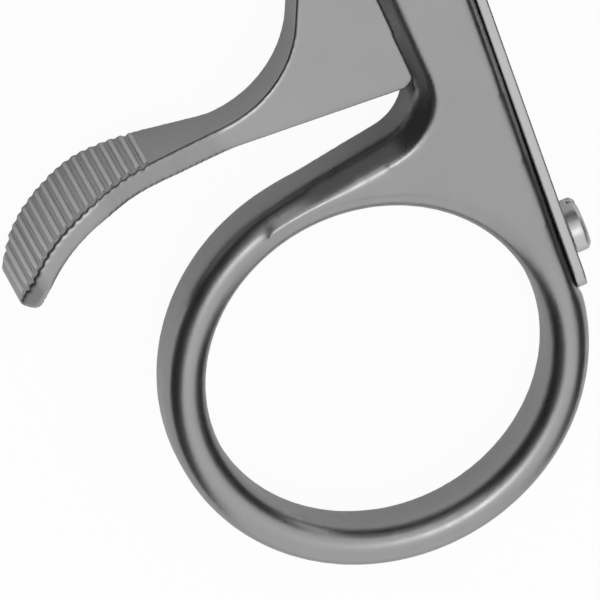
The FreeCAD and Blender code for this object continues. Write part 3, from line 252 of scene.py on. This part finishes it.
def steel(name, colour, roughness, grain_group, edge_group, depth):
    """A steel whose colour, gloss and relief vary with grain, lines and clouds, and whose colour is lightened
    on convex edges as handling wear and painted highlight.
    """
    material = bpy.data.materials.new(name)
    material.use_nodes = True
    tree = material.node_tree
    shader = tree.nodes["Principled BSDF"]
    shader.inputs["Metallic"].default_value = 1.0
    grain = add(tree, "ShaderNodeGroup", node_tree=grain_group)
    pointed = add(tree, "ShaderNodeNewGeometry").outputs["Pointiness"]
    edge = add(tree, "ShaderNodeGroup", node_tree=edge_group)
    tree.links.new(pointed, edge.inputs["Pointiness"])
    tree.links.new(grain.outputs["Clouds"], edge.inputs["Break Up"])
    mix = tree.nodes.new("ShaderNodeMix")
    mix.data_type = "RGBA"
    mix.inputs[6].default_value = (*[c * 0.94 for c in colour], 1.0)
    mix.inputs[7].default_value = (*[min(1.0, c * 1.06) for c in colour], 1.0)
    tree.links.new(grain.outputs["Clouds"], mix.inputs[0])
    # Lighter colour on convex edges: handling wear together with a painted highlight
    wear_and_highlight = tree.nodes.new("ShaderNodeMix")
    wear_and_highlight.data_type = "RGBA"
    wear_and_highlight.inputs[7].default_value = (*[min(1.0, c * 1.25) for c in colour], 1.0)
    tree.links.new(edge.outputs["Mask"], wear_and_highlight.inputs[0])
    tree.links.new(mix.outputs[2], wear_and_highlight.inputs[6])
    tree.links.new(wear_and_highlight.outputs[2], shader.inputs["Base Color"])
    rough = add(tree, "ShaderNodeMapRange", {
        "Value": grain.outputs["Lines"], "From Min": 0.3, "From Max": 0.7,
        "To Min": roughness * 0.88, "To Max": roughness * 1.15})
    tree.links.new(rough.outputs["Result"], shader.inputs["Roughness"])
    height = add(tree, "ShaderNodeMath", {0: grain.outputs["Grain"], 1: grain.outputs["Lines"]},
                 operation="ADD")
    bump = add(tree, "ShaderNodeBump", {
        "Height": height.outputs[0], "Strength": 0.25, "Distance": depth})
    tree.links.new(bump.outputs["Normal"], shader.inputs["Normal"])
    return material


def finishes():
    """The steels, made once."""
    if "Satin steel" not in bpy.data.materials:
        finish = bpy.context.scene.retractor_finish
        grain, edge = satin_grain_group(), edge_wear_and_highlight_group()
        steel("Satin steel", finish.satin, finish.satin_gloss, grain, edge, 0.02 * MM)
        steel("Spring steel", finish.spring, finish.satin_gloss, grain, edge, 0.015 * MM)
        steel("Polished steel", finish.polished, finish.polished_gloss, grain, edge, 0.006 * MM)
        # A lighter copy of the satin steel for the ribs, which paints the table's reflection on them
        steel("Painted reflection steel", finish.painted_rib_reflection, finish.satin_gloss, grain, edge, 0.015 * MM)
    names = ("Satin steel", "Spring steel", "Polished steel", "Painted reflection steel")
    return dict(zip(("satin_steel", "spring_steel", "polished_steel", "painted_reflection_steel"),
                    (bpy.data.materials[name] for name in names)))


# Forms

def plain_mesh(piece):
    """Turn a piece and its modifiers into one plain mesh."""
    piece.data = bpy.data.meshes.new_from_object(piece.evaluated_get(
        bpy.context.evaluated_depsgraph_get()))
    piece.modifiers.clear()
    return piece


def soft_copy(node, slot, grid, passes):
    """A copy of a CAD node whose edges are softened as finishing leaves them; it stands for the node."""
    mesh = frame["nodes"][node].data.copy()
    welded = bmesh.new()
    welded.from_mesh(mesh)
    bmesh.ops.remove_doubles(welded, verts=welded.verts, dist=WELD)
    welded.to_mesh(mesh)
    welded.free()
    piece = bpy.data.objects.new(node + "_finished", mesh)
    bpy.context.scene.collection.objects.link(piece)
    grid_step = piece.modifiers.new("Grid", "REMESH")
    grid_step.mode = "VOXEL"
    grid_step.voxel_size = grid
    grid_step.use_smooth_shade = True
    soften = piece.modifiers.new("Soften", "SMOOTH")
    soften.factor = 0.5
    soften.iterations = passes
    plain_mesh(piece)
    piece.data.materials.clear()
    piece.data.materials.append(finishes()[slot])
    for face in piece.data.polygons:
        face.material_index = 0
    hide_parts(node)
    return piece


def body_of(node):
    """The name of the body that a CAD node rides on."""
    return next(name for name, nodes in frame["record"]["behaviour"]["bodies"].items() if node in nodes)


class RETRACTOR_OT_arms(bpy.types.Operator):
    """Make the two ring handled arms."""

    bl_idname = "retractor.arms"
    bl_label = "Arms"

    def execute(self, context):
        forms = context.scene.retractor_forms
        for node in ("lever_arm", "rack_arm"):
            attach(soft_copy(node, "satin_steel", forms.arm_grid, forms.arm_softness), body_of(node))
        return {"FINISHED"}


# Places along the lever's diagonal, and the pad's half widths there
PAD_WIDTHS = {
    "Neck Place": -26.5 * MM, "Shoulder Place": -36.5 * MM, "Rounding Place": -43.4 * MM,
    "Tip Place": -47.5 * MM, "Neck Half": 1.7 * MM, "Pad Half": 4.35 * MM, "Tip Half": 2.2 * MM}


def maths(tree, operation, *sources):
    """The result of a math node fed by sockets or numbers."""
    return add(tree, "ShaderNodeMath", dict(enumerate(sources)), operation=operation).outputs[0]


def rib_tree():
    """Geometry nodes that set rounded ribs round an arc, each as long as the pad is wide there."""
    tree = bpy.data.node_groups.new("Ribs round an arc", "GeometryNodeTree")
    sizes = ["Radius", "First Turn", "Pitch", "Width", "Height", "Unevenness", "Inset", *PAD_WIDTHS]
    for label, kind in ([("Count", "NodeSocketInt"), ("Seed", "NodeSocketInt"),
                         ("Centre", "NodeSocketVector"), ("Material", "NodeSocketMaterial")]
                        + [(size, "NodeSocketFloat") for size in sizes]):
        tree.interface.new_socket(name=label, in_out="INPUT", socket_type=kind)
    tree.interface.new_socket(name="Geometry", in_out="OUTPUT", socket_type="NodeSocketGeometry")
    given = tree.nodes.new("NodeGroupInput").outputs
    out = tree.nodes.new("NodeGroupOutput")

    # Where each rib stands
    number = add(tree, "GeometryNodeInputIndex").outputs[0]
    chance = tree.nodes.new("FunctionNodeRandomValue")
    chance.data_type = "FLOAT"
    tree.links.new(maths(tree, "MULTIPLY", given["Unevenness"], -1.0), chance.inputs[2])
    tree.links.new(given["Unevenness"], chance.inputs[3])
    tree.links.new(given["Seed"], chance.inputs["Seed"])
    turn = maths(tree, "ADD", maths(tree, "MULTIPLY_ADD", number, given["Pitch"], given["First Turn"]),
                 chance.outputs[1])
    arm = add(tree, "ShaderNodeCombineXYZ", {
        "X": maths(tree, "MULTIPLY", maths(tree, "COSINE", turn), given["Radius"]),
        "Y": maths(tree, "MULTIPLY", maths(tree, "SINE", turn), given["Radius"])})
    place = add(tree, "ShaderNodeVectorMath", {0: arm.outputs[0], 1: given["Centre"]},
                operation="ADD").outputs[0]

    # How wide the pad is there, along the lever's diagonal
    apart = add(tree, "ShaderNodeSeparateXYZ", {0: place}).outputs
    along = maths(tree, "MULTIPLY", maths(tree, "ADD", apart["X"], apart["Y"]), math.sqrt(0.5))
    widening = add(tree, "ShaderNodeMapRange", {
        "Value": along, "From Min": given["Neck Place"], "From Max": given["Shoulder Place"],
        "To Min": given["Neck Half"], "To Max": given["Pad Half"]}).outputs[0]
    narrowing = add(tree, "ShaderNodeMapRange", {
        "Value": along, "From Min": given["Rounding Place"], "From Max": given["Tip Place"],
        "To Min": given["Pad Half"], "To Max": given["Tip Half"]}).outputs[0]
    half = maths(tree, "SUBTRACT", maths(tree, "MINIMUM", widening, narrowing), given["Inset"])

    # One rib: a bar with rounded ends
    bar = add(tree, "GeometryNodeMeshCylinder", {
        "Vertices": 20, "Side Segments": 24, "Radius": 1.0, "Depth": 2.0})
    spot = add(tree, "GeometryNodeInputPosition").outputs[0]
    height = add(tree, "ShaderNodeSeparateXYZ", {0: spot}).outputs["Z"]
    taper = maths(tree, "SQRT", maths(tree, "MAXIMUM", maths(
        tree, "SUBTRACT", 1.0, maths(tree, "POWER", maths(tree, "ABSOLUTE", height), 10.0)), 0.04))
    thin = add(tree, "ShaderNodeCombineXYZ", {"X": taper, "Y": taper, "Z": 1.0}).outputs[0]
    rounded = add(tree, "ShaderNodeVectorMath", {0: spot, 1: thin}, operation="MULTIPLY").outputs[0]
    rib = add(tree, "GeometryNodeSetPosition", {"Geometry": bar.outputs["Mesh"], "Position": rounded})

    row = add(tree, "GeometryNodeMeshLine", {"Count": given["Count"], "Offset": (0.0, 0.0, 0.0)})
    row = add(tree, "GeometryNodeSetPosition", {"Geometry": row.outputs[0], "Position": place})
    facing = add(tree, "ShaderNodeCombineXYZ", {"Z": turn}).outputs[0]
    size = add(tree, "ShaderNodeCombineXYZ", {
        "X": given["Height"], "Y": maths(tree, "MULTIPLY", given["Width"], 0.5), "Z": half}).outputs[0]
    ribs = add(tree, "GeometryNodeInstanceOnPoints", {
        "Points": row.outputs[0], "Instance": rib.outputs[0], "Rotation": facing, "Scale": size})
    ribs = add(tree, "GeometryNodeRealizeInstances", {0: ribs.outputs[0]})
    ribs = add(tree, "GeometryNodeSetShadeSmooth", {0: ribs.outputs[0]})
    ribs = add(tree, "GeometryNodeSetMaterial", {0: ribs.outputs[0], "Material": given["Material"]})
    tree.links.new(ribs.outputs[0], out.inputs["Geometry"])
    return tree


def thumb_ribs(forms):
    """The thumb pad's ribs, on the lands between the pad's grooves."""
    piece = bpy.data.objects.new("thumb_ribs", bpy.data.meshes.new("thumb_ribs"))
    bpy.context.scene.collection.objects.link(piece)
    modifier = piece.modifiers.new("Ribs", "NODES")
    tree = rib_tree()
    modifier.node_group = tree
    # The ribs take the lighter steel, a painted reflection of the bright table
    settings = {
        "Count": forms.rib_count, "Seed": RIB_SEED, "Centre": PAD_CENTRE, "Material": finishes()["painted_reflection_steel"],
        "Radius": PAD_RADIUS + forms.rib_proud - forms.rib_height, "First Turn": RIB_FIRST,
        "Pitch": RIB_PITCH, "Width": forms.rib_width, "Height": forms.rib_height,
        "Unevenness": forms.rib_uneven, "Inset": RIB_INSET, **PAD_WIDTHS}
    for socket in tree.interface.items_tree:
        if socket.in_out == "INPUT":
            modifier[socket.identifier] = settings[socket.name]
    plain_mesh(piece)
    return piece


class RETRACTOR_OT_lever(bpy.types.Operator):
    """Make the release lever and the ribs of its thumb pad."""

    bl_idname = "retractor.lever"
    bl_label = "Release lever"

    def execute(self, context):
        forms = context.scene.retractor_forms
        lever = soft_copy("release_lever", "satin_steel", forms.lever_grid, forms.lever_softness)
        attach(lever, "release_lever")
        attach(thumb_ribs(forms), "release_lever")
        return {"FINISHED"}


class RETRACTOR_OT_spring(bpy.types.Operator):
    """Make the leaf spring, softened and fixed where the CAD node stands."""

    bl_idname = "retractor.spring"
    bl_label = "Leaf spring"

    def execute(self, context):
        forms = context.scene.retractor_forms
        spring = soft_copy("leaf_spring", "spring_steel", forms.small_grid, forms.small_softness)
        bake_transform(spring)
        return {"FINISHED"}


class RETRACTOR_OT_blades(bpy.types.Operator):
    """Make the hinged blades with their prongs, and the ratchet's rack."""

    bl_idname = "retractor.blades"
    bl_label = "Blades and rack"

    def execute(self, context):
        forms = context.scene.retractor_forms
        for node in ("right_blade", "left_blade", "ratchet_rack"):
            piece = soft_copy(node, "satin_steel", forms.blade_grid, forms.small_softness)
            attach(piece, body_of(node))
        return {"FINISHED"}


class RETRACTOR_OT_screws(bpy.types.Operator):
    """Make the screws and pins."""

    bl_idname = "retractor.screws"
    bl_label = "Screws and pins"

    def execute(self, context):
        forms = context.scene.retractor_forms
        for node in ("pivot_screw", "spring_screw", "lever_pin", "rack_pin", "rack_stop_pin",
                     "right_hinge_screw", "left_hinge_screw"):
            piece = soft_copy(node, "polished_steel", forms.small_grid, forms.small_softness)
            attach(piece, body_of(node))
        return {"FINISHED"}


class RETRACTOR_OT_stage(bpy.types.Operator):
    """Set the table, the light and the camera."""

    bl_idname = "retractor.stage"
    bl_label = "Stage"

    def execute(self, context):
        studio = context.scene.retractor_studio
        lay_floor(studio)
        light_world(context.scene)
        hang_lamps(studio)
        set_camera(context.scene, studio)
        context.scene.view_settings.view_transform = "Standard"
        return {"FINISHED"}


def lay_floor(studio):
    """A wide pale table that keeps the instrument's shadow."""
    mesh = bpy.data.meshes.new("table")
    corners = ((-1, -1), (1, -1), (1, 1), (-1, 1))
    mesh.from_pydata([(x * TABLE_HALF, y * TABLE_HALF, TABLE_LEVEL) for x, y in corners], [],
                     [(0, 1, 2, 3)])
    table = bpy.data.objects.new("table", mesh)
    bpy.context.scene.collection.objects.link(table)
    material = bpy.data.materials.new("Table")
    material.use_nodes = True
    tree = material.node_tree
    tree.nodes.clear()
    out = tree.nodes.new("ShaderNodeOutputMaterial")
    grey = studio.floor_grey
    paper = add(tree, "ShaderNodeBsdfDiffuse", {"Color": (grey, grey, grey, 1.0)})
    white = add(tree, "ShaderNodeEmission", {"Color": (1.0, 1.0, 1.0, 1.0), "Strength": 1.0})
    rays = add(tree, "ShaderNodeLightPath")
    seen = add(tree, "ShaderNodeMath", {0: rays.outputs["Is Camera Ray"], 1: studio.floor_white},
               operation="MULTIPLY")
    mix = add(tree, "ShaderNodeMixShader", {0: seen.outputs[0], 1: paper.outputs[0], 2: white.outputs[0]})
    tree.links.new(mix.outputs[0], out.inputs["Surface"])
    mesh.materials.append(material)


def light_world(scene):
    """A white room for the camera and for reflections, and an even fill for the rest."""
    world = bpy.data.worlds.new("Studio")
    world.use_nodes = True
    scene.world = world
    tree = world.node_tree
    tree.nodes.clear()
    out = tree.nodes.new("ShaderNodeOutputWorld")
    rays = add(tree, "ShaderNodeLightPath")
    seen = add(tree, "ShaderNodeMath", {0: rays.outputs["Is Camera Ray"], 1: rays.outputs["Is Glossy Ray"]},
               operation="MAXIMUM")
    seen = add(tree, "ShaderNodeMath", {0: seen.outputs[0], 1: rays.outputs["Is Transmission Ray"]},
               operation="MAXIMUM")
    fill = add(tree, "ShaderNodeBackground", {"Color": (0.87, 0.87, 0.88, 1.0)})
    white = add(tree, "ShaderNodeBackground", {"Color": (1.0, 1.0, 1.0, 1.0)})
    mix = add(tree, "ShaderNodeMixShader", {0: seen.outputs[0], 1: fill.outputs[0], 2: white.outputs[0]})
    tree.links.new(mix.outputs[0], out.inputs["Surface"])


def hang_lamps(studio):
    """One large soft lamp above, and dark cards that the steel's rounded sides mirror."""
    lamp = bpy.data.lights.new("key", "AREA")
    lamp.shape = "DISK"
    lamp.size = studio.key_size
    lamp.energy = studio.key_power
    key = bpy.data.objects.new("key", lamp)
    key.location = RING_CENTRE + KEY_TOWARD * KEY_DISTANCE
    key.rotation_euler = KEY_TOWARD.to_track_quat("Z", "Y").to_euler()
    bpy.context.scene.collection.objects.link(key)
    for card in CARDS:
        hang_card(*card)


def hang_card(name, first, last, low, high, shade):
    """A dark or grey card bent round the instrument, seen only in reflections."""
    corners, faces = [], []
    for index in range(CARD_STEPS + 1):
        angle = math.radians(first + (last - first) * index / CARD_STEPS)
        for height in (low, high):
            corners.append((RING_CENTRE.x + CARD_DISTANCE * math.cos(angle),
                            RING_CENTRE.y + CARD_DISTANCE * math.sin(angle), height))
        if index:
            faces.append((2 * index - 2, 2 * index, 2 * index + 1, 2 * index - 1))
    mesh = bpy.data.meshes.new(name)
    mesh.from_pydata(corners, [], faces)
    material = bpy.data.materials.new(name)
    material.use_nodes = True
    shader = material.node_tree.nodes["Principled BSDF"]
    shader.inputs["Base Color"].default_value = (shade, shade, shade, 1.0)
    shader.inputs["Roughness"].default_value = 1.0
    mesh.materials.append(material)
    card = bpy.data.objects.new(name, mesh)
    bpy.context.scene.collection.objects.link(card)
    card.visible_camera = card.visible_diffuse = card.visible_shadow = False


def set_camera(scene, studio):
    """A long lens at the photograph's angle, on the finger ring and the thumb pad."""
    data = bpy.data.cameras.new("camera")
    data.lens = studio.lens
    camera = bpy.data.objects.new("camera", data)
    scene.collection.objects.link(camera)
    right, up, back = VIEW.col[0], VIEW.col[1], VIEW.col[2]
    centre = RING_CENTRE + right * VIEW_SHIFT[0] + up * VIEW_SHIFT[1]
    away = studio.view_width * studio.lens / data.sensor_width
    camera.matrix_world = Matrix.Translation(centre + back * away) @ VIEW.to_4x4()
    data.clip_start, data.clip_end = CLIP_NEAR, CLIP_FAR
    scene.camera = camera


class RETRACTOR_PT_panel(bpy.types.Panel):
    """Sizes, finishes and steps of the retractor."""

    bl_idname = "RETRACTOR_PT_panel"
    bl_label = "Retractor"
    bl_space_type = "VIEW_3D"
    bl_region_type = "UI"
    bl_category = "Retractor"

    def draw(self, context):
        for group in ("retractor_forms", "retractor_finish", "retractor_studio"):
            settings = getattr(context.scene, group)
            column = self.layout.column(align=True)
            for name in settings.__annotations__:
                column.prop(settings, name)
        for step in STEPS:
            self.layout.operator(step.bl_idname)


STEPS = (RETRACTOR_OT_arms, RETRACTOR_OT_lever, RETRACTOR_OT_spring, RETRACTOR_OT_blades,
         RETRACTOR_OT_screws, RETRACTOR_OT_stage)
GROUPS = (("retractor_forms", RetractorForms), ("retractor_finish", RetractorFinish),
          ("retractor_studio", RetractorStudio))


def register():
    """Add the settings, the steps and the panel."""
    for name, group in GROUPS:
        bpy.utils.register_class(group)
        setattr(bpy.types.Scene, name, bpy.props.PointerProperty(type=group))
    for item in (*STEPS, RETRACTOR_PT_panel):
        bpy.utils.register_class(item)


def unregister():
    """Take them away again."""
    for item in (*STEPS, RETRACTOR_PT_panel):
        bpy.utils.unregister_class(item)
    for name, group in GROUPS:
        delattr(bpy.types.Scene, name)
        bpy.utils.unregister_class(group)


def main():
    """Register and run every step."""
    register()
    bpy.ops.retractor.arms()
    bpy.ops.retractor.lever()
    bpy.ops.retractor.spring()
    bpy.ops.retractor.blades()
    bpy.ops.retractor.screws()
    bpy.ops.retractor.stage()


if __name__ == "__main__":
    main()
